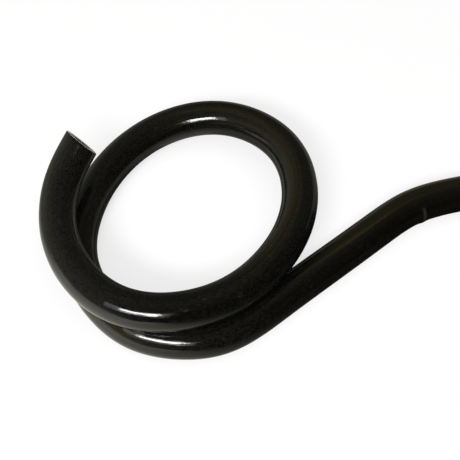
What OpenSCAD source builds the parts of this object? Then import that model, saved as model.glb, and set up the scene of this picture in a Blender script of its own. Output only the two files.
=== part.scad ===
// Soaker hose, laid in a loop from its cut end, with the rest of its length in a tied coil
// and a swivel coupling on its supply end. Millimetres, +Z up, floor at z = 0.

/* [Hose] */
// Outside diameter of the hose
hose_d = 16; // [13:0.5:16.5]
// Wall of the hose
hose_wall = 2.5; // [1.5:0.1:3.5]
// Length of the round bore cut true at the open end
mouth_l = 10; // [6:1:12]

/* [Coil] */
// Radius of the outermost turn, at the middle of the hose
coil_r = 149; // [125:1:160]
// Turns in each layer
coil_turns = 5; // [2:1:6]
// Free gap between turns and between layers
turn_gap = 0.6; // [0.5:0.1:2]

/* [Ties] */
// Width of a tie's strap
tie_w = 4.8; // [2.4:0.2:5]
// Thickness of a tie's strap
tie_t = 1; // [0.6:0.1:1.4]
// Gap between the strap and the hose
tie_gap = 0.45; // [0.4:0.05:0.8]
// Length of a tie's head along its strap
tie_head_l = 8; // [6:0.5:12]
// Height of a tie's head above its strap
tie_head_h = 4.5; // [3:0.5:6]
// Width of a tie's head
tie_head_w = 7.4; // [5.5:0.2:9]

/* [Tail piece] */
// Depth that the shank reaches into the hose
shank_l = 22; // [16:1:26]
// Wall of the shank around its waterway
shank_wall = 1.4; // [0.8:0.1:2]
// Gap between the shank and the hose's bore, between barbs
shank_gap = 0.1; // [0.05:0.05:0.2]
// How far a barb stands out of the hose's bore
barb_bite = 0.35; // [0.1:0.05:0.6]
// Number of barbs on the shank
barb_count = 4; // [2:1:5]
// Plain stretch of the shank between its barbs and the hose's end
shank_plain = 2; // [1:0.5:4]
// How far the ferrule's seat stands out of the hose's bore
seat_step = 1.5; // [0.8:0.1:1.8]
// How far the collar behind the nut stands out past the ferrule
collar_rise = 0.5; // [0.2:0.1:1.5]
// Thickness of the collar
collar_t = 2.5; // [1.5:0.25:4]
// Radius of the neck that the nut spins on
neck_r = 8; // [6.5:0.25:9]
// Clearance between the head that holds the nut on and the thread
head_clear = 1.2; // [0.8:0.1:1.8]
// Thickness of the head
head_t = 2.5; // [1.5:0.25:4]

/* [Ferrule] */
// Length of the ferrule over the hose
ferrule_l = 20; // [14:1:24]
// Wall of the ferrule
ferrule_wall = 0.8; // [0.5:0.1:1.2]
// Gap between the ferrule and the hose
ferrule_gap = 0.1; // [0.05:0.05:0.3]
// Thickness of the ferrule's inturned lip
lip_t = 1.2; // [0.8:0.1:2]
// Number of rolled crimp grooves
crimp_count = 3; // [1:1:4]
// Width of a crimp groove
crimp_w = 3; // [1.5:0.25:3.5]
// Depth of a crimp groove
crimp_depth = 0.4; // [0.1:0.05:0.45]

/* [Swivel nut] */
// Wall of the nut around the relief behind its thread, over the ribs
nut_wall = 2.8; // [2.4:0.1:5]
// Radius of the internal thread at its root
thread_r = 13.6; // [13.2:0.1:14]
// Length of the internal thread
thread_l = 12.2; // [9:0.1:16]
// How much wider than the thread the relief behind it is
relief_depth = 0.6; // [0.3:0.1:1]
// Length of the nut's inturned back wall, which runs on the neck
nut_back_t = 4.2; // [2.5:0.1:6]
// Running clearance of the back wall on the neck
neck_clear = 0.08; // [0.03:0.01:0.1]
// End play of the nut on either side of its back wall
end_play = 0.4; // [0.2:0.05:0.6]
// Number of grip ribs around the nut
rib_count = 20; // [12:1:28]
// Radius of the hollow between two ribs
flute_r = 1.8; // [1:0.1:2.2]
// Depth of the hollow between two ribs
flute_depth = 0.9; // [0.4:0.1:1.1]
// Bevel around the nut's two ends
nut_bevel = 1; // [0.5:0.1:1.4]

/* [Washer and restrictor] */
// Clearance between the sealing washer and the thread
washer_clear = 0.9; // [0.6:0.1:1.4]
// Radius of the washer's hole
washer_hole_r = 8; // [6:0.25:9.5]
// Thickness of the washer
washer_t = 3.2; // [2:0.1:4]
// Thickness of the flow restrictor
restrictor_t = 1.2; // [0.8:0.1:2]
// Radius of the restrictor's small hole
restrictor_hole_r = 1.5; // [0.75:0.25:3]

/* [Hidden] */
$fn = 64;
eps = 0.01;

hose_r = hose_d / 2;
bore_r = hose_r - hose_wall;
mouth_step = 0.1;               // how much wider the mouth's own bore is than the one beyond
swept_bore_r = bore_r - mouth_step;
over = 1;                       // how far a cutting solid runs past a face
floor_flat = hose_d / 10;       // how deep the hose is flattened where it carries the coil
coil_z = hose_r - floor_flat;   // height of the hose's middle in the lowest layer
pitch = hose_d + turn_gap;      // step from turn to turn and from layer to layer
coil_layers = 2;
climb = 0.5;                    // share of a turn over which the hose climbs a layer
run_sides = 12;
run_steps = 2;                  // rings to a span of the route
coil_sides = 6;
coil_rings = 24;                // rings to a turn
thread_relief_r = thread_r + relief_depth;
nut_r = thread_relief_r + nut_wall;
nut_z = nut_r;                  // the coupling lies on the floor on the nut's ribs

// Route of the laid run, from the open end: up along the loop, around it on the floor,
// under its own first turn and away to the coil.
run_route = [
    [-231, 127, 38], [-241, 113, 28], [-241, 88, 24], [-228, 64, 25], [-208, 51, 25],
    [-184, 51, 25], [-162, 61, 23], [-144, 82, 21], [-135, 106, 20], [-137, 130, 20],
    [-148, 148, 18], [-167, 160, 15], [-188, 161, 12], [-209, 152, 9], [-225, 133, 8],
    [-234, 108, 8], [-234, 83, 8], [-222, 63, 8], [-206, 49, 8], [-183, 46, 8],
    [-165, 50, 8], [-145, 67, 8], [-122, 85, 8], [-102, 101, 8], [-86, 114, 8],
    [-66, 120, 8], [-44, 124, 8], [-19, 126, 8], [6, 127, 7], [30, 127, coil_z],
    [53, 127, coil_z], [77, 127, coil_z]
];
run_end = run_route[len(run_route) - 1];

coil_c = [run_end.x + hose_d, run_end.y - coil_r];
coil_total = coil_turns * coil_layers;
coil_top_z = coil_z + pitch * (coil_layers - 1);
coil_start_a = 90;

// Route of the supply end, from the coil down to the coupling, straight where it is clamped.
lead_start = [coil_c.x + hose_d, run_end.y, coil_top_z];
hose_end = [221, 139, nut_z];
lead_route = [
    lead_start, lead_start + [8, 0, 0], lead_start + [17, 0, 0],
    [142, 130, 21.5], [158, 135, 18.5], hose_end - [48, 0, 0],
    hose_end - [35, 0, 0], hose_end - [23, 0, 0], hose_end - [12, 0, 0], hose_end
];

// Places along the coupling, from the hose's end face towards the supply.
collar_at = lip_t;
neck_at = collar_at + collar_t;
nut_at = neck_at + end_play;
head_at = nut_at + nut_back_t + end_play;
restrictor_at = head_at + head_t;
washer_at = restrictor_at + restrictor_t;
thread_at = washer_at + washer_t;
nut_end = thread_at + thread_l + nut_bevel;
shank_r = bore_r - shank_gap;
waterway_r = shank_r - shank_wall;
barb_r = bore_r + barb_bite;
barb_step = (shank_l - shank_plain) / barb_count;
barb_rise = 0.8;                // share of a barb's length over which it widens
nose_step = 0.5;                // how far the shank's nose is drawn in
seat_r = bore_r + seat_step;
ferrule_in_r = hose_r + ferrule_gap;
ferrule_out_r = ferrule_in_r + ferrule_wall;
collar_r = ferrule_out_r + collar_rise;
head_r = thread_r - head_clear;
washer_r = thread_r - washer_clear;
nut_bore_r = neck_r + neck_clear;

// Cubic B-spline through a list of points, which starts at the first and ends at the last.
function weights(t) = [
    pow(1 - t, 3) / 6,
    (3 * pow(t, 3) - 6 * pow(t, 2) + 4) / 6,
    (-3 * pow(t, 3) + 3 * pow(t, 2) + 3 * t + 1) / 6,
    pow(t, 3) / 6
];
function padded(p) = let (n = len(p))
    concat([2 * p[0] - p[1]], p, [2 * p[n - 1] - p[n - 2]]);
function curve(p, steps) = let (q = padded(p)) concat(
    [for (i = [0:len(p) - 2]) for (j = [0:steps - 1])
        weights(j / steps) * [q[i], q[i + 1], q[i + 2], q[i + 3]]],
    [p[len(p) - 1]]);

// Unit direction of a line of points at its i-th point.
function heading(line, i) = let (
    a = line[max(i - 1, 0)],
    b = line[min(i + 1, len(line) - 1)]) (b - a) / norm(b - a);

// One ring of a tube around a point, with a flat side down, kept above a given height.
function ring(centre, along, r, sides, low) = let (
    side = [along.y, -along.x, 0] / norm([along.x, along.y]),
    up = cross(side, along),
    first = sides % 4 == 0 ? 180 / sides : 0)
    [for (k = [0:sides - 1]) let (
        a = first + 360 * k / sides,
        p = centre + r * (cos(a) * side + sin(a) * up))
        [p.x, p.y, max(p.z, low)]];

function rings(line, r, sides, lows) = [for (i = [0:len(line) - 1])
    each ring(line[i], heading(line, i), r, sides, lows[i])];

// Triangles of the skin between rings, and of the disc that closes one.
function skin(count, sides, at, flip) = [for (i = [0:count - 2]) for (k = [0:sides - 1]) let (
    a = at + i * sides + k,
    b = at + i * sides + (k + 1) % sides,
    c = b + sides,
    d = a + sides) each flip ? [[a, b, c], [a, c, d]] : [[a, c, b], [a, d, c]]];
function disc(sides, at, flip) = [for (k = [1:sides - 2])
    flip ? [at, at + k + 1, at + k] : [at, at + k, at + k + 1]];
function annulus(sides, outer, inner) = [for (k = [0:sides - 1]) let (
    n = (k + 1) % sides) each [
        [outer + k, outer + n, inner + n], [outer + k, inner + n, inner + k]]];

module solid_tube(line, r, sides, lows) {
    n = len(line);
    polyhedron(
        points = rings(line, r, sides, lows),
        faces = concat(
            skin(n, sides, 0, false),
            disc(sides, 0, false),
            disc(sides, (n - 1) * sides, true)));
}

// A tube whose bore is open at its first ring and stops short of its last one.
module open_tube(line, r, bore, sides, lows, short) {
    n = len(line);
    m = n - short;
    inner_line = [for (i = [0:m - 1]) line[i]];
    inner_at = n * sides;
    polyhedron(
        points = concat(
            rings(line, r, sides, lows),
            rings(inner_line, bore, sides, lows)),
        faces = concat(
            skin(n, sides, 0, false),
            skin(m, sides, inner_at, true),
            annulus(sides, 0, inner_at),
            disc(sides, (n - 1) * sides, true),
            disc(sides, inner_at + (m - 1) * sides, false)));
}

// The coil: turns spiral in at a steady rate, climb a layer where the spiral reverses,
// and spiral out again.
function coil_inset(u) = abs((u + coil_turns) % (2 * coil_turns) - coil_turns);
function smooth(x) = let (c = min(max(x, 0), 1)) c * c * (3 - 2 * c);
function coil_height(u) = coil_z + pitch * smooth((u - coil_turns) / climb + 0.5);
function coil_point(u) = let (
    r = coil_r - pitch * coil_inset(u),
    a = coil_start_a - 360 * u)
    [coil_c.x + r * cos(a), coil_c.y + r * sin(a), coil_height(u)];
coil_line = concat(
    [run_end],
    [for (i = [0:coil_total * coil_rings]) coil_point(i / coil_rings)],
    [lead_start]);

// The least distance between the hose's middle in one turn and in any other, less its diameter.
coil_gap = min([for (i = [0:len(coil_line) - 1])
    for (j = [i + coil_rings / 2:len(coil_line) - 1])
        norm(coil_line[i] - coil_line[j])]) - hose_d;
echo(coil_gap = coil_gap);

// A tie stands at the ring of the coil that is nearest to its direction. The hose is pressed up
// by the strap beneath it there.
ring_step = 360 / coil_rings;
function ring_angle(a) = ring_step * round(a / ring_step);
tie_front_a = ring_angle(300);
tie_right_a = ring_angle(15);
tie_left_a = ring_angle(165);
tie_angles = [tie_front_a, tie_right_a, tie_left_a];
function turn_at(a) = ((coil_start_a - a + 720) % 360) / 360;
function tied(i) = len([for (a = tie_angles)
    if (abs((i - 1) % coil_rings - turn_at(a) * coil_rings) < eps) a]) > 0;
coil_lows = [for (i = [0:len(coil_line) - 1]) tied(i) ? tie_t + tie_gap : 0];

// The radius and height of the hose's middle in each turn that a tie goes round.
function bundle(a) = [for (k = [0:coil_total - 1]) let (u = k + turn_at(a))
    [coil_r - pitch * coil_inset(u), coil_height(u)]];

module hose_run() {
    line = curve(run_route, run_steps);
    lows = [for (p = line) 0];
    color([0.08, 0.08, 0.07]) difference() {
        open_tube(line, hose_r, swept_bore_r, run_sides, lows, run_steps);
        mouth_bore(line);
    }
}

// The true round bore at the open end, along the hose's own direction there.
module mouth_bore(line) {
    out = -heading(line, 0);
    translate(line[0])
        rotate([0, acos(out.z), atan2(out.y, out.x)])
            translate([0, 0, -mouth_l])
                cylinder(r = bore_r, h = mouth_l + over);
}

module hose_coil() {
    color([0.1, 0.1, 0.09]) solid_tube(coil_line, hose_r, coil_sides, coil_lows);
}

module hose_lead() {
    line = curve(lead_route, run_steps);
    lows = [for (p = line) 0];
    color([0.08, 0.08, 0.07]) difference() {
        solid_tube(line, hose_r, run_sides, lows);
        on_coupling() translate([0, 0, -shank_l - over])
            cylinder(r = bore_r, h = shank_l + 2 * over);
    }
}

// The outline of the tied bundle in the plane of a tie, grown by a given amount.
module bundle_outline(a, grow, low) {
    intersection() {
        hull() for (c = bundle(a)) translate(c) circle(r = hose_r + grow, $fn = 32);
        translate([0, low]) square([coil_r + 2 * hose_d, coil_top_z + 2 * hose_d]);
    }
}

module tie(a) {
    middles = bundle(a);
    head_x = (max([for (c = middles) c.x]) + min([for (c = middles) c.x])) / 2;
    strap_top = coil_top_z + hose_r + tie_gap + tie_t;
    color([0.16, 0.16, 0.17]) translate([coil_c.x, coil_c.y, 0])
        rotate([0, 0, a]) rotate([90, 0, 0]) {
            translate([0, 0, -tie_w / 2]) linear_extrude(tie_w) difference() {
                bundle_outline(a, tie_gap + tie_t, 0);
                bundle_outline(a, tie_gap, tie_t);
            }
            translate([head_x - tie_head_l / 2, strap_top - tie_t / 2, -tie_head_w / 2])
                cube([tie_head_l, tie_head_h + tie_t / 2, tie_head_w]);
        }
}

// Stands a piece that is drawn up the Z axis along the coupling, from the hose's end face.
module on_coupling() {
    translate(hose_end) rotate([0, 90, 0]) children();
}

module tail_piece() {
    barbs = [for (k = [0:barb_count - 1]) let (at = k * barb_step - shank_l) each [
        [k == 0 ? shank_r - nose_step : shank_r, at],
        [barb_r, at + barb_rise * barb_step],
        [shank_r, at + barb_rise * barb_step]]];
    profile = concat(
        [[waterway_r, -shank_l]],
        barbs,
        [
            [shank_r, 0], [seat_r, 0], [seat_r, collar_at], [collar_r, collar_at],
            [collar_r, neck_at], [neck_r, neck_at], [neck_r, head_at], [head_r, head_at],
            [head_r, restrictor_at], [waterway_r, restrictor_at]
        ]);
    color([0.78, 0.62, 0.32]) on_coupling() rotate_extrude() polygon(profile);
}

module ferrule() {
    step = (ferrule_l - crimp_w) / (crimp_count + 1);
    color([0.72, 0.73, 0.75]) on_coupling() difference() {
        translate([0, 0, -ferrule_l]) cylinder(r = ferrule_out_r, h = ferrule_l + lip_t);
        translate([0, 0, -ferrule_l - over]) cylinder(r = ferrule_in_r, h = ferrule_l + over);
        translate([0, 0, -over]) cylinder(r = seat_r + ferrule_gap, h = lip_t + 2 * over);
        for (k = [1:crimp_count]) translate([0, 0, -ferrule_l + k * step])
            difference() {
                cylinder(r = ferrule_out_r + over, h = crimp_w);
                translate([0, 0, -over])
                    cylinder(r = ferrule_out_r - crimp_depth, h = crimp_w + 2 * over);
            }
    }
}

module swivel_nut() {
    relief_end = nut_at + nut_back_t;
    profile = [
        [nut_bore_r, nut_at], [nut_r - nut_bevel, nut_at], [nut_r, nut_at + nut_bevel],
        [nut_r, nut_end - nut_bevel], [nut_r - nut_bevel, nut_end],
        [thread_r + nut_bevel, nut_end], [thread_r, nut_end - nut_bevel],
        [thread_r, thread_at], [thread_relief_r, thread_at], [thread_relief_r, relief_end],
        [nut_bore_r, relief_end]
    ];
    color([0.12, 0.13, 0.13]) on_coupling() difference() {
        rotate_extrude() polygon(profile);
        for (k = [0:rib_count - 1]) rotate([0, 0, (k + 0.5) * 360 / rib_count])
            translate([nut_r + flute_r - flute_depth, 0, nut_at - over])
                cylinder(r = flute_r, h = nut_end - nut_at + 2 * over, $fn = 24);
    }
}

module sealing_washer() {
    color([0.25, 0.24, 0.23]) on_coupling() translate([0, 0, washer_at]) difference() {
        cylinder(r = washer_r, h = washer_t);
        translate([0, 0, -over]) cylinder(r = washer_hole_r, h = washer_t + 2 * over);
    }
}

module flow_restrictor() {
    color([0.85, 0.86, 0.84]) on_coupling() translate([0, 0, restrictor_at]) difference() {
        cylinder(r = head_r, h = restrictor_t);
        translate([0, 0, -over])
            cylinder(r = restrictor_hole_r, h = restrictor_t + 2 * over);
    }
}

hose_run();
hose_coil();
hose_lead();
tie(tie_front_a);  // tie_front
tie(tie_right_a);  // tie_right
tie(tie_left_a);  // tie_left
tail_piece();
ferrule();
swivel_nut();
sealing_washer();
flow_restrictor();
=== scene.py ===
"""The looks of the soaker hose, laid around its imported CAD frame. Metres, +Z up, floor at z = 0.

The hose is one open tube from the coupling, through the tied coil, to its bare cut end."""
import math

import bpy
import numpy as np
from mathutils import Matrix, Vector


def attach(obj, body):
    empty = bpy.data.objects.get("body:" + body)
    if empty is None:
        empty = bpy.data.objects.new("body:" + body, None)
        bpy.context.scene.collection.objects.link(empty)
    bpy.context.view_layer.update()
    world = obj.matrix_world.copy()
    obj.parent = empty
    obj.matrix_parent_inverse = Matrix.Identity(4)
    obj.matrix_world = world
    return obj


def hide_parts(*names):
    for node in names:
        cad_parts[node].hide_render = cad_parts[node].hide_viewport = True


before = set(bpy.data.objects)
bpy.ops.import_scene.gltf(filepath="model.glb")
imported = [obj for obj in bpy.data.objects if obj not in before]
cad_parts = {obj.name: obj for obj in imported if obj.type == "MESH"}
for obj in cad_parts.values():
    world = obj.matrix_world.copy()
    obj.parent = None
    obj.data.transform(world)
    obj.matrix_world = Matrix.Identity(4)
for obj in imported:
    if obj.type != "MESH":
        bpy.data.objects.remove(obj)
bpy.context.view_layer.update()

MM = 0.001
TURN = 2 * math.pi

# ---------------------------------------------------------------- camera

VIEW_TARGET = np.array([-0.167, 0.101, 0.008])
VIEW_ELEVATION = 58
VIEW_DISTANCE = 0.416
VIEW_HALF_ANGLE = math.radians(13.8)
SENSOR = 36.0


def toward(azimuth, elevation):
    """Unit direction from the object: azimuth 0 is -Y and grows towards +X, both in degrees."""
    a, e = math.radians(azimuth), math.radians(elevation)
    return np.array([math.sin(a) * math.cos(e), -math.cos(a) * math.cos(e), math.sin(e)])


def aimed(obj, place, target):
    """Puts an object at a place with its -Z axis at a target and its Y axis upwards."""
    obj.location = place
    obj.rotation_euler = Vector(target - place).to_track_quat("-Z", "Y").to_euler()
    bpy.context.scene.collection.objects.link(obj)
    return obj


lens = bpy.data.cameras.new("view")
lens.sensor_fit = "HORIZONTAL"
lens.sensor_width = SENSOR
lens.lens = SENSOR / 2 / math.tan(VIEW_HALF_ANGLE)
camera_at = VIEW_TARGET + VIEW_DISTANCE * toward(0, VIEW_ELEVATION)
bpy.context.scene.camera = aimed(
    bpy.data.objects.new("view", lens), camera_at, VIEW_TARGET)

# ---------------------------------------------------------------- the hose's line

HOSE_R = 8.0 * MM
BORE_R = 5.5 * MM
COIL_R = 149.0 * MM
COIL_TURNS = 5
COIL_Z = 6.4 * MM
PITCH = 16.6 * MM
CLIMB = 0.5
REVERSAL = 0.1
COIL_SAMPLES = 9601
NUT_Z = 17.0 * MM
TIE_LIFT = 1.45 * MM
TIE_ANGLES = {"tie_front": 300, "tie_right": 15, "tie_left": 165}

RUN_ROUTE = MM * np.array([
    [-231, 127, 38], [-241, 113, 28], [-241, 88, 24], [-228, 64, 25], [-208, 51, 25],
    [-184, 51, 25], [-162, 61, 23], [-144, 82, 21], [-135, 106, 20], [-137, 130, 20],
    [-148, 148, 18], [-167, 160, 15], [-188, 161, 12], [-209, 152, 9], [-225, 133, 8],
    [-234, 108, 8], [-234, 83, 8], [-222, 63, 8], [-206, 49, 8], [-183, 46, 8],
    [-165, 50, 8], [-145, 67, 8], [-122, 85, 8], [-102, 101, 8], [-86, 114, 8],
    [-66, 120, 8], [-44, 124, 8], [-19, 126, 8], [6, 127, 7], [30, 127, 6.4],
    [53, 127, 6.4], [77, 127, 6.4]])
COIL_C = np.array([93.0, -22.0]) * MM
HOSE_END = MM * np.array([221.0, 139.0, 17.0])
LEAD_ROUTE = MM * np.array([
    [109, 127, 23], [117, 127, 23], [126, 127, 23], [142, 130, 21.5], [158, 135, 18.5],
    [173, 139, 17], [186, 139, 17], [198, 139, 17], [209, 139, 17], [221, 139, 17]])


def length_along(line):
    """Distance travelled along a line of points, from its first point to each one."""
    return np.concatenate([[0.0], np.cumsum(np.linalg.norm(np.diff(line, axis=0), axis=1))])


def spline(points, steps):
    """Uniform cubic B-spline through a row of points: each span is the blend of four
    neighbours by the weights (1-t)^3/6, (3t^3-6t^2+4)/6, (-3t^3+3t^2+3t+1)/6 and t^3/6,
    with a mirrored point past each end so that it starts and ends on the row's own ends."""
    row = np.vstack([2 * points[0] - points[1], points, 2 * points[-1] - points[-2]])
    spans = len(points) - 1
    t = np.tile(np.arange(steps) / steps, spans)
    i = np.repeat(np.arange(spans), steps)
    weights = np.stack([
        (1 - t) ** 3, 3 * t ** 3 - 6 * t ** 2 + 4,
        -3 * t ** 3 + 3 * t ** 2 + 3 * t + 1, t ** 3], axis=1) / 6
    curve = sum(weights[:, k:k + 1] * row[i + k] for k in range(4))
    return np.vstack([curve, points[-1:]])


def even(line, step):
    """The same line with its points an even step apart."""
    s = length_along(line)
    marks = np.linspace(0, s[-1], int(round(s[-1] / step)) + 1)
    return np.stack([np.interp(marks, s, line[:, k]) for k in range(3)], axis=1)


def climb(height, share):
    """A height reached by the S-curve c*c*(3-2c) while a share goes from 0 to 1."""
    return height * share * share * (3 - 2 * share)


def layer_height(u):
    """Height of the coil after u turns: one pitch is climbed at the reversal."""
    return COIL_Z + climb(PITCH, np.clip((u - COIL_TURNS) / CLIMB + 0.5, 0, 1))


def coil_line():
    """The coil from its outer start: the radius falls by one pitch a turn and rises again
    after the reversal, which a hyperbola rounds, and the height climbs through it."""
    u = np.linspace(0, 2 * COIL_TURNS, COIL_SAMPLES)
    inset = COIL_TURNS - np.sqrt((u - COIL_TURNS) ** 2 + REVERSAL ** 2)
    radius = COIL_R - PITCH * np.maximum(inset, 0)
    angle = TURN * (0.25 - u)
    return np.stack([
        COIL_C[0] + radius * np.cos(angle), COIL_C[1] + radius * np.sin(angle),
        layer_height(u)], axis=1)


def tie_lift(line):
    """How high a tie's strap presses the hose's underside: TIE_LIFT over the strap, falling
    to nothing by an S-curve within 16 mm along the turn, and nothing away from the coil."""
    flat, reach = 3.0 * MM, 16.0 * MM
    inner, outer = 50 * MM, 160 * MM
    offset = line[:, :2] - COIL_C
    radius = np.linalg.norm(offset, axis=1)
    angle = np.arctan2(offset[:, 1], offset[:, 0])
    lift = np.zeros(len(line))
    for degrees in TIE_ANGLES.values():
        apart = np.abs((angle - math.radians(degrees) + math.pi) % TURN - math.pi) * radius
        c = np.clip((reach - apart) / (reach - flat), 0, 1)
        lift = np.maximum(lift, climb(TIE_LIFT, c))
    in_coil = (radius > inner) & (radius < outer) & (line[:, 2] < HOSE_R)
    return np.where(in_coil, lift, 0.0)


COIL_STEP = 6.6 * MM
RUN_STEPS = 11
LEAD_STEPS = 5
lead = spline(LEAD_ROUTE, LEAD_STEPS)[::-1]
run = spline(RUN_ROUTE, RUN_STEPS)[::-1]
coil = even(np.vstack([lead[-1:], coil_line()[::-1], run[:1]]), COIL_STEP)
hose_line = np.vstack([lead[:-1], coil, run[1:]])
hose_length = float(length_along(hose_line)[-1])

# ---------------------------------------------------------------- surfaces


def skinned(grid, wrap_rows=False):
    """Rings of points, one row of the grid each, skinned into a closed surface: the rows join
    end to end, or else the first and the last ring are closed flat. The faces are turned so
    that the signed volume, a sixth of the sum of a . (b x c) over the triangles, is positive.
    Gives (points, quads, closing loops)."""
    rows, columns = grid.shape[:2]
    points = grid.reshape(-1, 3)
    i = np.arange(rows if wrap_rows else rows - 1)[:, None]
    k = np.arange(columns)[None, :]
    j, n = (i + 1) % rows, (k + 1) % columns
    quads = np.stack([
        i * columns + k, i * columns + n, j * columns + n, j * columns + k],
        axis=-1).reshape(-1, 4)
    loops = [] if wrap_rows else [
        np.arange(columns)[::-1], (rows - 1) * columns + np.arange(columns)]
    a, b, c, d = (points[quads[:, m]] - points.mean(axis=0) for m in range(4))
    volume = np.einsum("ij,ij->", a, np.cross(b, c)) + np.einsum("ij,ij->", a, np.cross(c, d))
    if volume < 0:
        return points, quads[:, ::-1], [loop[::-1] for loop in loops]
    return points, quads, loops


def piece(name, parts, *materials):
    """A smooth mesh object at the origin from one or more closed surfaces."""
    points, faces, first = [], [], 0
    for part_points, quads, loops in parts:
        points += part_points.tolist()
        faces += (quads + first).tolist() + [(loop + first).tolist() for loop in loops]
        first += len(part_points)
    mesh = bpy.data.meshes.new(name)
    mesh.from_pydata(points, [], faces)
    mesh.polygons.foreach_set("use_smooth", np.ones(len(faces), dtype=bool))
    for material in materials:
        mesh.materials.append(material)
    mesh.update()
    obj = bpy.data.objects.new(name, mesh)
    bpy.context.scene.collection.objects.link(obj)
    return obj


def headings(line):
    """Unit direction of a line at each point, from its neighbours."""
    ahead = np.vstack([line[1:], line[-1:]]) - np.vstack([line[:1], line[:-1]])
    return ahead / np.linalg.norm(ahead, axis=1)[:, None]


def ring_angles(sides):
    """Even angles round a ring, half a step off its first direction."""
    return TURN * (np.arange(sides) + 0.5) / sides


def rings(centres, along, radii, sides):
    """Round rings: centre + radius * (cos a * side + sin a * up), where side is level and
    square to the direction, and up is square to both."""
    side = np.stack([along[:, 1], -along[:, 0], 0 * along[:, 0]], axis=1)
    side /= np.linalg.norm(side, axis=1)[:, None]
    up = np.cross(side, along)
    a = ring_angles(sides)
    return centres[:, None] + radii[:, None, None] * (
        np.cos(a)[None, :, None] * side[:, None] + np.sin(a)[None, :, None] * up[:, None])


# ---------------------------------------------------------------- shader groups


def node(tree, kind, inputs=None, **settings):
    """A shader node with its settings and with its inputs set or linked."""
    made = tree.nodes.new(kind)
    for key, value in settings.items():
        setattr(made, key, value)
    for key, value in (inputs or {}).items():
        if isinstance(value, bpy.types.NodeSocket):
            tree.links.new(value, made.inputs[key])
        else:
            made.inputs[key].default_value = value
    return made


def ranged(tree, value, low, high):
    """A value from 0 to 1 spread over low to high."""
    return node(tree, "ShaderNodeMapRange", {
        "Value": value, "From Min": 0.0, "From Max": 1.0, "To Min": low, "To Max": high}
    ).outputs[0]


def eased(tree, value, start, end, first=0.0, last=1.0):
    """An S-curve from first to last while a value goes from start to end."""
    return node(tree, "ShaderNodeMapRange", {
        "Value": value, "From Min": start, "From Max": end, "To Min": first, "To Max": last},
        interpolation_type="SMOOTHSTEP").outputs[0]


def maths(tree, operation, *inputs):
    """One step of arithmetic on values or constants."""
    return node(tree, "ShaderNodeMath", dict(enumerate(inputs)), operation=operation).outputs[0]


def tinted(tree, value, first, second):
    """A colour between two by a value."""
    ends = {0: value, 6: (*first, 1.0), 7: (*second, 1.0)}
    return node(tree, "ShaderNodeMix", ends, data_type="RGBA").outputs[2]


def raised(tree, height, distance, strength=1.0, normal=None):
    """The normal of a bumped surface, distance in metres."""
    inputs = {"Height": height, "Distance": distance, "Strength": strength}
    if normal is not None:
        inputs["Normal"] = normal
    return node(tree, "ShaderNodeBump", inputs).outputs[0]


def added(tree, first, second):
    """The sum of two colours."""
    return node(tree, "ShaderNodeMix", {0: 1.0, 6: first, 7: second},
                data_type="RGBA", blend_type="ADD").outputs[2]


def group(name, inputs, outputs):
    """An empty shader node group with named sockets: (tree, its input node, its output node)."""
    tree = bpy.data.node_groups.new(name, "ShaderNodeTree")
    for label, kind, value in inputs:
        socket = tree.interface.new_socket(label, in_out="INPUT", socket_type=kind)
        if value is not None:
            socket.default_value = value
    for label, kind in outputs:
        tree.interface.new_socket(label, in_out="OUTPUT", socket_type=kind)
    return tree, tree.nodes.new("NodeGroupInput"), tree.nodes.new("NodeGroupOutput")


FLOAT, VECTOR = "NodeSocketFloat", "NodeSocketVector"


def stretched_noise_group():
    """Noise drawn out along the third axis of its coordinates, squared up around a threshold:
    0 below it and 1 above, over the given softness."""
    tree, given, put = group("drawn_marks", [
        ("Vector", VECTOR, None), ("Across", FLOAT, 900.0), ("Along", FLOAT, 30.0),
        ("Threshold", FLOAT, 0.5), ("Softness", FLOAT, 0.2)],
        [("Mask", FLOAT), ("Height", FLOAT)])
    scale = node(tree, "ShaderNodeCombineXYZ", {
        "X": given.outputs["Across"], "Y": given.outputs["Across"],
        "Z": given.outputs["Along"]})
    place = node(tree, "ShaderNodeVectorMath", {
        0: given.outputs["Vector"], 1: scale.outputs[0]}, operation="MULTIPLY")
    noise = node(tree, "ShaderNodeTexNoise", {
        "Vector": place.outputs[0], "Scale": 1.0, "Detail": 3.0, "Roughness": 0.6})
    edge = given.outputs["Threshold"], given.outputs["Softness"]
    low, high = maths(tree, "SUBTRACT", *edge), maths(tree, "ADD", *edge)
    mask = node(tree, "ShaderNodeMapRange", {
        "Value": noise.outputs[0], "From Min": low, "From Max": high},
        interpolation_type="SMOOTHSTEP")
    tree.links.new(mask.outputs[0], put.inputs["Mask"])
    tree.links.new(noise.outputs[0], put.inputs["Height"])
    return tree


def cloudy_group():
    """Two sizes of soft noise added together, for uneven gloss, colour and grain."""
    tree, given, put = group("uneven", [
        ("Vector", VECTOR, None), ("Scale", FLOAT, 60.0), ("Fine", FLOAT, 6.0),
        ("Fine share", FLOAT, 0.35)], [("Value", FLOAT)])
    broad = node(tree, "ShaderNodeTexNoise", {
        "Vector": given.outputs["Vector"], "Scale": given.outputs["Scale"], "Detail": 2.0})
    finer = maths(tree, "MULTIPLY", given.outputs["Scale"], given.outputs["Fine"])
    fine = node(tree, "ShaderNodeTexNoise", {
        "Vector": given.outputs["Vector"], "Scale": finer, "Detail": 3.0})
    mix = node(tree, "ShaderNodeMix", {
        0: given.outputs["Fine share"], 2: broad.outputs[0], 3: fine.outputs[0]})
    tree.links.new(mix.outputs[0], put.inputs["Value"])
    return tree


DRAWN_MARKS = stretched_noise_group()
UNEVEN = cloudy_group()


def use(tree, made_group, inputs):
    """A shader group placed in a material with its own values."""
    placed = tree.nodes.new("ShaderNodeGroup")
    placed.node_tree = made_group
    for key, value in inputs.items():
        if isinstance(value, bpy.types.NodeSocket):
            tree.links.new(value, placed.inputs[key])
        else:
            placed.inputs[key].default_value = value
    return placed


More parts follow.
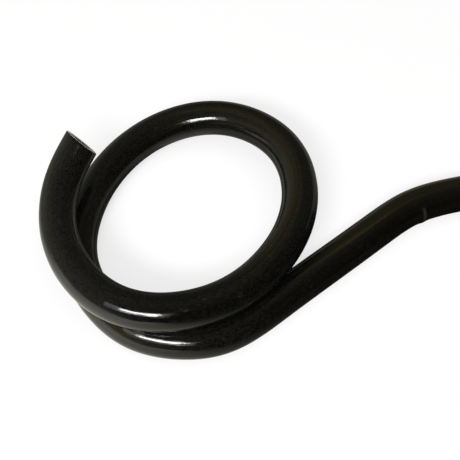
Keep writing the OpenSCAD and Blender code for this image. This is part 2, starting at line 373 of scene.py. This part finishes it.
def finish_of(name, **constants):
    """An empty material: (material, its tree, its Principled shader), with set constants."""
    material = bpy.data.materials.new(name)
    material.use_nodes = True
    tree = material.node_tree
    shader = tree.nodes["Principled BSDF"]
    for key, value in constants.items():
        shader.inputs[key.replace("_", " ")].default_value = value
    return material, tree, shader


HOSE_LAY = "hose_lay"
# Angles round the hose of the painted reflection: olive on one upper side, brown on the other.
REFLECTION_ANGLE = math.radians(64)
SECOND_REFLECTION_ANGLE = math.radians(128)
CROWN_ANGLE = math.radians(163)
CREASE_ANGLE = math.radians(165)
CREASE_AT = 0.5635
TAIL_BACK = 0.56
LOOP_BACK = 0.44
# Repeat and peak of the swing along the hose that places the painted reflection and the painted
# light.
PAINTED_LIGHT_REPEAT = 0.36
PAINTED_LIGHT_PEAK = 0.215
PAINTED_LIGHT_START = TURN * (PAINTED_LIGHT_PEAK - hose_length) / PAINTED_LIGHT_REPEAT
# Colours of the painted reflection, olive and brown, over the skin's own black.
OLIVE_REFLECTION = (0.0290, 0.0228, 0.0030)
BROWN_REFLECTION = (0.0230, 0.0205, 0.0040)
BLACK = (0.0009, 0.0009, 0.0008)
# Grey of the painted light that comes and goes along the hose.
PAINTED_LIGHT_GREY = (0.0066, 0.0064, 0.0055)
# Grey of the scuffs' rubbed wear, and of the painted sheen on the fold's crown.
RUBBED_AND_SHEEN_GREY = (0.015, 0.0145, 0.0135)
NOTHING = (0.0, 0.0, 0.0)


def side_of(tree, lay, angle, first, full):
    """The share of the hose's skin that faces one way round it: from none at one cosine of
    the angle off that way to all at the other."""
    facing = node(tree, "ShaderNodeVectorMath", {
        0: lay, 1: (math.cos(angle) / HOSE_R, math.sin(angle) / HOSE_R, 0.0)},
        operation="DOT_PRODUCT").outputs["Value"]
    return eased(tree, facing, first, full)


def from_tail(tree, travelled, tail, loop):
    """One value on the tail and the coil and another on the laid loop, by the distance back
    from the cut end."""
    return eased(tree, travelled, hose_length - TAIL_BACK, hose_length - LOOP_BACK, tail, loop)


def hose_skin():
    """Smooth extruded black: broad olive and brown bands drawn along the hose on its upper sides,
    a painted reflection, fine die lines and short scuffs, a shallow unevenness that breaks its
    highlights, and a faint painted light that comes and goes along the hose, broken by a fine
    grain. A fold's crown is painted paler grey, a painted sheen."""
    material, tree, shader = finish_of("hose_skin", IOR=1.5)
    lay = node(tree, "ShaderNodeAttribute", attribute_name=HOSE_LAY).outputs["Vector"]
    travelled = node(tree, "ShaderNodeSeparateXYZ", {0: lay}).outputs["Z"]
    bands = use(tree, DRAWN_MARKS, {
        "Vector": lay, "Across": 430.0, "Along": 6.0, "Threshold": 0.50, "Softness": 0.08})
    # Painted reflection: olive and brown put into the base colour on the hose's upper sides, in
    # stretches along it set by the swing, fainter on the laid loop than on the tail, and broken
    # into streaks that also run faintly all round.
    upper = side_of(tree, lay, REFLECTION_ANGLE, 0.80, 0.97)
    second = side_of(tree, lay, SECOND_REFLECTION_ANGLE, 0.88, 0.99)
    swing = maths(tree, "COSINE", maths(
        tree, "MULTIPLY_ADD", travelled, TURN / PAINTED_LIGHT_REPEAT, PAINTED_LIGHT_START))
    reflection_share = maths(tree, "MULTIPLY", upper, eased(tree, swing, 0.0, 0.75, 0.04, 1.0))
    reflection_share = maths(tree, "MULTIPLY", reflection_share, from_tail(tree, travelled, 1.0, 0.26))
    reflection_share = maths(tree, "MULTIPLY_ADD", second, eased(tree, swing, -1.0, -0.7, 0.34, 0.0), reflection_share)
    reflection_share = maths(tree, "MULTIPLY", reflection_share, ranged(tree, bands.outputs["Mask"], 0.22, 1.0))
    reflection_share = maths(tree, "MULTIPLY_ADD", bands.outputs["Mask"], 0.045, reflection_share)
    # Painted light: a faint grey lifted onto the skin in stretches along the hose by the same
    # swing, and half as strong on the tail and coil as on the laid loop.
    painted_light = maths(tree, "MULTIPLY", eased(tree, swing, -0.95, -0.2, 2.5, 0.9),
                 from_tail(tree, travelled, 0.5, 1.0))
    streaks = use(tree, DRAWN_MARKS, {
        "Vector": lay, "Across": 1100.0, "Along": 22.0, "Threshold": 0.6, "Softness": 0.12})
    scuffs = use(tree, DRAWN_MARKS, {
        "Vector": lay, "Across": 520.0, "Along": 130.0, "Threshold": 0.68,
        "Softness": 0.06})
    blotches = use(tree, UNEVEN, {"Vector": lay, "Scale": 42.0, "Fine": 5.0})
    grain = use(tree, UNEVEN, {"Vector": lay, "Scale": 1300.0, "Fine": 2.0, "Fine share": 0.5})
    # The painted reflection's colour, olive to brown by blotches, mixed over the skin's black.
    olive = tinted(tree, blotches.outputs[0], OLIVE_REFLECTION, BROWN_REFLECTION)
    black = node(tree, "ShaderNodeMix", {0: reflection_share, 6: (*BLACK, 1.0), 7: olive},
                 data_type="RGBA").outputs[2]
    # The painted light, broken by the fine grain into speckle.
    speckle = maths(tree, "MULTIPLY", painted_light, ranged(tree, grain.outputs[0], -2.0, 2.6))
    ground = added(tree, black, tinted(tree, speckle, NOTHING, PAINTED_LIGHT_GREY))
    # Painted sheen: the crown of the fold, over a short stretch of the hose, is painted paler
    # grey; the scuffs add rubbed wear in the same grey at a third of the strength.
    fold = maths(tree, "ABSOLUTE", maths(
        tree, "SUBTRACT", travelled, hose_length - CREASE_AT))
    fold = maths(tree, "MULTIPLY", eased(tree, fold, 0.2 * MM, 1.4 * MM, 1.0, 0.0),
                 side_of(tree, lay, CROWN_ANGLE, 0.80, 0.93))
    wear_and_fold_sheen = tinted(tree, maths(tree, "MULTIPLY_ADD", scuffs.outputs["Mask"], 0.33, fold),
                  NOTHING, RUBBED_AND_SHEEN_GREY)
    tree.links.new(added(tree, ground, wear_and_fold_sheen), shader.inputs["Base Color"])
    gloss = ranged(tree, blotches.outputs[0], 0.02, 0.16)
    rough = maths(tree, "MULTIPLY_ADD", scuffs.outputs["Mask"], 0.16, gloss)
    tree.links.new(rough, shader.inputs["Roughness"])
    waves = use(tree, UNEVEN, {"Vector": lay, "Scale": 75.0, "Fine": 5.0, "Fine share": 0.3})
    wavy = raised(tree, waves.outputs[0], 0.30 * MM, 0.5)
    lined = raised(tree, streaks.outputs["Height"], 0.06 * MM, 0.9, wavy)
    tree.links.new(lined, shader.inputs["Normal"])
    return material


def cut_face():
    """The sawn end of the wall: matt, paler than the skin, with grain from the blade."""
    material, tree, shader = finish_of("cut_face")
    place = node(tree, "ShaderNodeTexCoord").outputs["Object"]
    grain = use(tree, UNEVEN, {"Vector": place, "Scale": 900.0, "Fine": 4.0, "Fine share": 0.5})
    tree.links.new(tinted(tree, grain.outputs[0], (0.42, 0.37, 0.35), (0.70, 0.63, 0.60)),
                   shader.inputs["Base Color"])
    tree.links.new(ranged(tree, grain.outputs[0], 0.45, 0.75), shader.inputs["Roughness"])
    tree.links.new(raised(tree, grain.outputs[0], 0.08 * MM), shader.inputs["Normal"])
    return material


def bore_skin():
    """The inside of the hose: black, duller than the outside, drawn along."""
    material, tree, shader = finish_of("bore_skin")
    lay = node(tree, "ShaderNodeAttribute", attribute_name=HOSE_LAY).outputs["Vector"]
    streaks = use(tree, DRAWN_MARKS, {"Vector": lay, "Across": 900.0, "Along": 40.0})
    tree.links.new(tinted(tree, streaks.outputs["Mask"], (0.006, 0.006, 0.006),
                          (0.014, 0.013, 0.012)), shader.inputs["Base Color"])
    tree.links.new(ranged(tree, streaks.outputs["Height"], 0.4, 0.7),
                   shader.inputs["Roughness"])
    return material


# ---------------------------------------------------------------- the hose

HOSE_SIDES = 32
PRESSED_WALL = 1.2 * MM
EDGE = 0.3 * MM
CUT_FACING = np.array([0.634, 0.632, 0.447])


def lip_rings(centre, outward, facing):
    """Rings round a cut end, from the skin over the rounded outer edge, across the flat of
    the wall and over the inner edge into the bore. The cut's plane is square to its facing:
    each point is set back along the hose by (offset . facing) / (outward . facing)."""
    turned = np.array([0.0, 0.5, 1.0]) * math.pi / 2
    out_r = HOSE_R - EDGE + EDGE * np.cos(turned)
    in_r = BORE_R + EDGE - EDGE * np.cos(turned[::-1])
    flat_r = np.linspace(out_r[-1], in_r[0], 5)[1:-1]
    radii = np.concatenate([out_r, flat_r, in_r])
    set_back = EDGE * (1 - np.sin(np.concatenate([
        turned, np.full(len(flat_r), math.pi / 2), turned[::-1]])))
    count = len(radii)
    flow = np.repeat(outward[None], count, axis=0)
    made = rings(np.repeat(centre[None], count, axis=0), flow, radii, HOSE_SIDES)
    back = set_back[:, None] + ((made - centre) @ facing) / (outward @ facing)
    return made - back[..., None] * outward, radii


CREASE_HALF = 3.2 * MM
CREASE_RISE = 0.55 * MM


def crease(line):
    """A faint cross fold in the skin's front, at a distance back from the cut end: a rise of
    cos^2 along the hose, times the half of the round that looks to the front and up."""
    back = length_along(line)[-1] - length_along(line) - CREASE_AT
    a = ring_angles(HOSE_SIDES)
    along = np.cos(np.clip(back / CREASE_HALF, -1, 1) * math.pi / 2) ** 2
    around = np.clip(np.cos(a - CREASE_ANGLE), 0, 1) ** 2
    return CREASE_RISE * along[:, None] * around[None, :]


def hose_piece():
    """Outer rings from the coupling to the cut end, the cut wall, and the bore's rings back
    again, all one closed skin. Where the hose lies on the floor or is pressed up by a tie,
    its underside is levelled to that height."""
    along = headings(hose_line)
    count = len(hose_line)
    lift = tie_lift(hose_line)[:, None]
    outer = rings(hose_line, along, np.full(count, HOSE_R), HOSE_SIDES)
    outer += (outer - hose_line[:, None]) / HOSE_R * crease(hose_line)[..., None]
    inner = rings(hose_line, along, np.full(count, BORE_R), HOSE_SIDES)
    outer[..., 2] = np.maximum(outer[..., 2], lift)
    inner[..., 2] = np.maximum(inner[..., 2], lift + PRESSED_WALL)
    cut, radii = lip_rings(hose_line[-1], along[-1], CUT_FACING)
    supply = lip_rings(hose_line[0], along[0], along[0])[0]
    supply = (supply - 2 * ((supply - hose_line[0]) @ along[0])[..., None] * along[0])[::-1]
    grid = np.concatenate([outer[1:-1], cut, inner[-2:0:-1], supply])
    s = length_along(hose_line)
    lips = len(radii)
    travelled = np.concatenate([
        s[1:-1], np.full(lips, s[-1]), s[-2:0:-1], np.full(lips, s[0])])
    radius = np.concatenate([
        np.full(count - 2, HOSE_R), radii, np.full(count - 2, BORE_R), radii[::-1]])
    a = ring_angles(HOSE_SIDES)
    lay = np.stack([
        radius[:, None] * np.cos(a), radius[:, None] * np.sin(a),
        np.repeat(travelled[:, None], HOSE_SIDES, axis=1)], axis=-1)
    obj = piece("hose", [skinned(grid, True)], hose_skin(), cut_face(), bore_skin())
    mesh = obj.data
    kind = np.concatenate([
        np.full(count - 2, 0), [0], np.full(lips - 2, 1), [2], np.full(count - 2, 2),
        np.full(lips, 1)])
    mesh.polygons.foreach_set("material_index", np.repeat(kind, HOSE_SIDES).astype(np.int32))
    lay_data = mesh.attributes.new(HOSE_LAY, "FLOAT_VECTOR", "POINT")
    lay_data.data.foreach_set("vector", lay.reshape(-1).astype(np.float32))
    return obj


hose = hose_piece()
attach(hose, "hose")
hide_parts("hose_run", "hose_coil", "hose_lead")

# ---------------------------------------------------------------- the ties

TIE_W = 4.8 * MM
TIE_T = 1.0 * MM
TIE_GAP = 0.45 * MM
HEAD_L = 8.0 * MM
HEAD_W = 7.4 * MM
HEAD_H = 4.5 * MM
STUB_HALF = 0.65 * MM
STRAP_STEP = 0.9 * MM
OUTLINE_POINTS = 32


def rounded(half_a, half_b, count, power=6.0):
    """Points round a rectangle with soft corners: the superellipse
    (a |cos t|^(2/n), b |sin t|^(2/n)) with the signs of cos t and sin t."""
    t = ring_angles(count)
    return np.stack([
        half_a * np.sign(np.cos(t)) * np.abs(np.cos(t)) ** (2 / power),
        half_b * np.sign(np.sin(t)) * np.abs(np.sin(t)) ** (2 / power)], axis=1)


def bundle_middles(degrees):
    """Radius from the coil's middle, and height, of the hose in each turn at an angle."""
    u = np.arange(2 * COIL_TURNS) + ((90 - degrees) % 360) / 360
    inset = COIL_TURNS - np.abs(u - COIL_TURNS)
    return np.stack([COIL_R - PITCH * inset, layer_height(u)], axis=1)


def strap_path(middles):
    """The closed line of a strap drawn tight around round bundles: in each direction the
    farthest middle plus the strap's own reach, kept above the floor, evened and softened."""
    way = np.linspace(0, TURN, 1440, endpoint=False)
    way = np.stack([np.cos(way), np.sin(way)], axis=1)
    reach = HOSE_R + TIE_GAP + TIE_T / 2
    path = middles[np.argmax(way @ middles.T, axis=1)] + reach * way
    path[:, 1] = np.maximum(path[:, 1], TIE_T / 2)
    closed = np.vstack([path, path[:1]])
    s = length_along(closed)
    marks = np.linspace(0, s[-1], int(s[-1] / STRAP_STEP), endpoint=False)
    path = np.stack([np.interp(marks, s, closed[:, k]) for k in range(2)], axis=1)
    return (np.roll(path, 1, axis=0) + 2 * path + np.roll(path, -1, axis=0)) / 4


def tie_piece(name, degrees, material):
    """A moulded strap drawn round the turns: the strap's rounded section carried round its
    path, a head with a sunk window, and the trimmed end of the strap that stands in it."""
    angle = math.radians(degrees)
    out = np.array([math.cos(angle), math.sin(angle), 0.0])
    across = np.array([-math.sin(angle), math.cos(angle), 0.0])
    up = np.array([0.0, 0.0, 1.0])
    origin = np.array([*COIL_C, 0.0])
    middles = bundle_middles(degrees)
    path = strap_path(middles)
    step = np.roll(path, -1, axis=0) - np.roll(path, 1, axis=0)
    step /= np.linalg.norm(step, axis=1)[:, None]
    away = np.stack([step[:, 1], -step[:, 0]], axis=1)
    section = rounded(TIE_W / 2, TIE_T / 2, 20)
    flat = path[:, None] + section[None, :, 1, None] * away[:, None]
    strap = origin + flat[..., :1] * out + flat[..., 1:] * up + section[None, :, :1] * across

    middle = (middles[:, 0].max() + middles[:, 0].min()) / 2
    base = COIL_Z + PITCH + HOSE_R + TIE_GAP + TIE_T / 2
    tall = HEAD_H + TIE_T / 2

    def stacked(levels, half_l, half_w, power):
        """Outlines at heights above the base, each drawn in by its own amount."""
        outlines = [
            np.concatenate([rounded(half_l - drawn_in, half_w - drawn_in,
                                    OUTLINE_POINTS, power),
                            np.full((OUTLINE_POINTS, 1), base + height)], axis=1)
            for height, drawn_in in levels]
        grid = np.stack(outlines)
        return origin + (middle + grid[..., :1]) * out + grid[..., 1:2] * across \
            + grid[..., 2:] * up

    head_levels = [
        (0.0, 0.5 * MM), (0.2 * MM, 0.15 * MM), (0.5 * MM, 0.0), (tall - 0.8 * MM, 0.0),
        (tall - 0.3 * MM, 0.15 * MM), (tall, 0.6 * MM), (tall, 0.9 * MM),
        (tall - 0.1 * MM, 1.0 * MM), (tall - 1.6 * MM, 1.15 * MM)]
    head = stacked(head_levels, HEAD_L / 2, HEAD_W / 2, 9.0)
    stub_levels = [(tall - 2.4 * MM, 0.0), (tall + 0.3 * MM, 0.0), (tall + 0.5 * MM, 0.1 * MM)]
    stub = stacked(stub_levels, STUB_HALF, TIE_W / 2, 6.0)
    return piece(name, [skinned(strap, True), skinned(head), skinned(stub)], material)


def nylon():
    """Moulded black nylon: a satin skin with a fine grain and slight uneven gloss."""
    material, tree, shader = finish_of("tie_nylon", IOR=1.53)
    place = node(tree, "ShaderNodeTexCoord").outputs["Object"]
    grain = use(tree, UNEVEN, {"Vector": place, "Scale": 700.0, "Fine": 3.0})
    tree.links.new(tinted(tree, grain.outputs[0], (0.016, 0.016, 0.017), (0.034, 0.034, 0.036)),
                   shader.inputs["Base Color"])
    tree.links.new(ranged(tree, grain.outputs[0], 0.25, 0.5), shader.inputs["Roughness"])
    tree.links.new(raised(tree, grain.outputs[0], 0.02 * MM, 0.5), shader.inputs["Normal"])
    return material


tie_skin = nylon()
for tie_name, tie_angle in TIE_ANGLES.items():
    tie = tie_piece(tie_name + "_strap", tie_angle, tie_skin)
    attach(tie, "hose")
    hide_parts(tie_name)

# ---------------------------------------------------------------- the coupling

THREAD_ROOT_R = 13.6 * MM
THREAD_CREST_R = 12.4 * MM
THREAD_PITCH = 25.4 / 11.5 * MM
THREAD_FROM = 16.6 * MM
THREAD_TO = 27.0 * MM
THREAD_SUNK = 0.12 * MM
THREAD_STEPS = 48


def nut_thread(material):
    """The nut's internal thread: a ridge with sloping sides carried along a right-handed
    helix about the coupling's axis, which rises out of the wall over a third of a turn at
    each end. Its foot is sunk in the nut's wall."""
    foot = THREAD_ROOT_R + THREAD_SUNK
    shape = MM * np.array([[-1.0, 0], [-0.32, 1], [0.0, 1.05], [0.32, 1], [1.0, 0], [0.0, -0.1]])
    shape[:, 1] /= MM
    turns = (THREAD_TO - THREAD_FROM) / THREAD_PITCH
    t = np.linspace(0, turns, int(turns * THREAD_STEPS))
    rise = np.clip(np.minimum(t, turns - t) * 3, 0.04, 1)
    radius = foot - (foot - THREAD_CREST_R) * shape[None, :, 1] * rise[:, None]
    phi = (TURN * t)[:, None]
    grid = np.stack([
        HOSE_END[0] + THREAD_FROM + (THREAD_PITCH * t)[:, None] + shape[None, :, 0],
        HOSE_END[1] + radius * np.cos(phi), NUT_Z + radius * np.sin(phi)], axis=-1)
    return piece("nut_thread", [skinned(grid)], material)


def turned_metal(name, dark, light, smooth, rough):
    """Turned or rolled metal: rings of fine tool marks along the coupling's axis, and a
    cloudy tarnish."""
    material, tree, shader = finish_of(name, Metallic=1.0)
    place = node(tree, "ShaderNodeTexCoord").outputs["Object"]
    x = node(tree, "ShaderNodeSeparateXYZ", {0: place}).outputs["X"]
    rings_only = node(tree, "ShaderNodeCombineXYZ", {"X": x}).outputs[0]
    marks = use(tree, DRAWN_MARKS, {"Vector": rings_only, "Across": 5000.0, "Along": 1.0})
    cloud = use(tree, UNEVEN, {"Vector": place, "Scale": 160.0})
    tree.links.new(tinted(tree, cloud.outputs[0], dark, light), shader.inputs["Base Color"])
    tree.links.new(ranged(tree, cloud.outputs[0], smooth, rough), shader.inputs["Roughness"])
    tree.links.new(raised(tree, marks.outputs["Height"], 0.02 * MM, 0.6),
                   shader.inputs["Normal"])
    return material


def moulded(name, dark, light, smooth, rough, grain_size, depth):
    """Moulded plastic or rubber: a fine grain over a slightly uneven colour and gloss."""
    material, tree, shader = finish_of(name)
    place = node(tree, "ShaderNodeTexCoord").outputs["Object"]
    grain = use(tree, UNEVEN, {"Vector": place, "Scale": grain_size, "Fine": 3.0,
                               "Fine share": 0.5})
    cloud = use(tree, UNEVEN, {"Vector": place, "Scale": 90.0})
    tree.links.new(tinted(tree, cloud.outputs[0], dark, light), shader.inputs["Base Color"])
    tree.links.new(ranged(tree, grain.outputs[0], smooth, rough), shader.inputs["Roughness"])
    tree.links.new(raised(tree, grain.outputs[0], depth), shader.inputs["Normal"])
    return material


def dressed(cad_name, material):
    """A carried-over CAD node with its finish in every material slot."""
    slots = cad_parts[cad_name].material_slots
    for place in slots:
        place.material = material
    if not slots:
        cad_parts[cad_name].data.materials.append(material)


nut_plastic = moulded("nut_plastic", (0.016, 0.017, 0.017), (0.03, 0.031, 0.031),
                      0.38, 0.62, 1400.0, 0.03 * MM)
dressed("swivel_nut", nut_plastic)
dressed("tail_piece", turned_metal("turned_brass", (0.50, 0.33, 0.12), (0.80, 0.60, 0.28),
                                   0.18, 0.42))
dressed("ferrule", turned_metal("rolled_aluminium", (0.55, 0.56, 0.58), (0.76, 0.77, 0.79),
                                0.34, 0.55))
dressed("sealing_washer", moulded("washer_rubber", (0.022, 0.021, 0.020),
                                  (0.045, 0.043, 0.040), 0.6, 0.85, 900.0, 0.05 * MM))
dressed("flow_restrictor", moulded("restrictor_plastic", (0.62, 0.63, 0.60),
                                   (0.74, 0.75, 0.72), 0.35, 0.55, 1200.0, 0.02 * MM))
thread = nut_thread(nut_plastic)
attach(thread, "nut")

# ---------------------------------------------------------------- floor and light

FLOOR_HALF = 4.0
FLOOR_GREY = (0.9, 0.9, 0.9, 1)
FLOOR_GLOW = 0.7
HORIZON = 1.0
WHITE = (1, 1, 1, 1)
WARM = (1.0, 0.985, 0.86, 1.0)
LOOP_MIDDLE = (-0.190, 0.108)
LIT_PATCH = (-0.188, 0.131)
BRIGHT_PATCH = (-0.186, 0.147)


def distance_from(tree, x, y, place):
    """Level distance of a point from a place on the floor."""
    across = maths(tree, "SUBTRACT", x, place[0])
    along = maths(tree, "SUBTRACT", y, place[1])
    return maths(tree, "SQRT", maths(
        tree, "MULTIPLY_ADD", across, across, maths(tree, "MULTIPLY", along, along)))


def floor_piece():
    """A pale floor that renders near white and keeps the object's soft shadow. In
    reflections it is brightest on the left, towards the light, a little lit behind on the
    right, and shaded within the loop but for two small patches."""
    half = FLOOR_HALF
    mesh = bpy.data.meshes.new("floor")
    mesh.from_pydata([(-half, -half, 0), (half, -half, 0), (half, half, 0), (-half, half, 0)],
                     [], [(0, 1, 2, 3)])
    material = bpy.data.materials.new("floor")
    material.use_nodes = True
    tree = material.node_tree
    tree.nodes.clear()
    seen = node(tree, "ShaderNodeLightPath").outputs
    place = node(tree, "ShaderNodeTexCoord").outputs["Object"]
    parts = node(tree, "ShaderNodeSeparateXYZ", {0: place}).outputs
    x, y = parts["X"], parts["Y"]
    lit = maths(tree, "MULTIPLY", eased(tree, x, -0.28, -0.12, 1.38, 0.04),
                eased(tree, y, 0.02, 0.16, 1.0, 0.2))
    lit = maths(tree, "MULTIPLY", lit, eased(
        tree, distance_from(tree, x, y, LOOP_MIDDLE), 0.045, 0.062, 0.2, 1.0))
    lit = maths(tree, "ADD", lit, eased(
        tree, distance_from(tree, x, y, LIT_PATCH), 0.010, 0.024, 0.24, 0.0))
    lit = maths(tree, "ADD", lit, eased(
        tree, distance_from(tree, x, y, BRIGHT_PATCH), 0.006, 0.014, 0.22, 0.0))
    lit = maths(tree, "MULTIPLY_ADD", eased(tree, x, -0.20, -0.16),
                eased(tree, y, 0.11, 0.15, 0.0, 0.22), lit)
    strength = node(tree, "ShaderNodeMix", {0: seen["Is Glossy Ray"], 2: 1.0, 3: lit})
    colour = node(tree, "ShaderNodeMix", {
        0: seen["Is Glossy Ray"], 6: WHITE, 7: WARM}, data_type="RGBA")
    direct = maths(tree, "ADD", seen["Is Camera Ray"], seen["Is Transmission Ray"])
    share = maths(tree, "MULTIPLY_ADD", direct, FLOOR_GLOW, seen["Is Glossy Ray"])
    share = maths(tree, "MINIMUM", share, 1.0)
    matt = node(tree, "ShaderNodeBsdfDiffuse", {"Color": FLOOR_GREY})
    glow = node(tree, "ShaderNodeEmission", {
        "Color": colour.outputs[2], "Strength": strength.outputs[0]})
    mix = node(tree, "ShaderNodeMixShader", {0: share, 1: matt.outputs[0], 2: glow.outputs[0]})
    out = node(tree, "ShaderNodeOutputMaterial")
    tree.links.new(mix.outputs[0], out.inputs["Surface"])
    mesh.materials.append(material)
    obj = bpy.data.objects.new("floor", mesh)
    bpy.context.scene.collection.objects.link(obj)


def soft_box(name, azimuth, elevation, distance, wide, tall, radiance):
    """A rectangular soft light that faces the object: its power is radiance times pi times
    its area."""
    lamp = bpy.data.lights.new(name, "AREA")
    lamp.shape = "RECTANGLE"
    lamp.size, lamp.size_y = wide, tall
    lamp.energy = radiance * math.pi * wide * tall
    place = VIEW_TARGET + distance * toward(azimuth, elevation)
    return aimed(bpy.data.objects.new(name, lamp), place, VIEW_TARGET)


def pale_world():
    """An even pale surround: white where the camera looks past the floor, and elsewhere a
    dim fill, with more of it on the left, some behind and overhead, and a low glow on the
    left in front."""
    world = bpy.data.worlds.new("surround")
    bpy.context.scene.world = world
    world.use_nodes = True
    tree = world.node_tree
    tree.nodes.clear()
    seen = node(tree, "ShaderNodeLightPath").outputs["Is Camera Ray"]
    way = node(tree, "ShaderNodeTexCoord").outputs["Generated"]
    parts = node(tree, "ShaderNodeSeparateXYZ", {0: way}).outputs
    x, y, z = parts["X"], parts["Y"], parts["Z"]
    left = maths(tree, "MULTIPLY", eased(tree, x, -0.95, -0.1, 1.0, 0.0),
                 eased(tree, z, 0.02, 0.30, 0.36, 0.22))
    behind = eased(tree, y, -0.1, 0.7, 0.0, 0.07)
    above = eased(tree, z, 0.7, 0.95, 0.01, 0.06)
    low = maths(tree, "MULTIPLY", eased(tree, z, 0.0, 0.16, HORIZON, 0.0),
                eased(tree, x, -0.8, -0.35, 1.0, 0.0))
    low = maths(tree, "MULTIPLY", low, eased(tree, y, -0.3, 0.25, 1.0, 0.0))
    fill = maths(tree, "ADD", maths(tree, "ADD", left, behind), maths(tree, "ADD", above, low))
    strength = node(tree, "ShaderNodeMix", {0: seen, 2: fill, 3: 1.0})
    colour = node(tree, "ShaderNodeMix", {0: seen, 6: WARM, 7: WHITE}, data_type="RGBA")
    glow = node(tree, "ShaderNodeBackground", {
        "Color": colour.outputs[2], "Strength": strength.outputs[0]})
    out = node(tree, "ShaderNodeOutputWorld")
    tree.links.new(glow.outputs[0], out.inputs["Surface"])


floor_piece()
pale_world()
soft_box("key", azimuth=-23, elevation=45, distance=1.3, wide=0.56, tall=0.22, radiance=30.0)
soft_box("key_right", azimuth=-8, elevation=46, distance=1.3, wide=0.20, tall=0.12,
         radiance=9.0)
soft_box("key_halo", azimuth=-26, elevation=44, distance=1.35, wide=1.05, tall=0.46,
         radiance=1.6)
overhead = soft_box("overhead", azimuth=20, elevation=78, distance=1.6, wide=2.2, tall=2.2,
                    radiance=1.5)
overhead.visible_glossy = False

bpy.context.scene.view_settings.view_transform = "Standard"
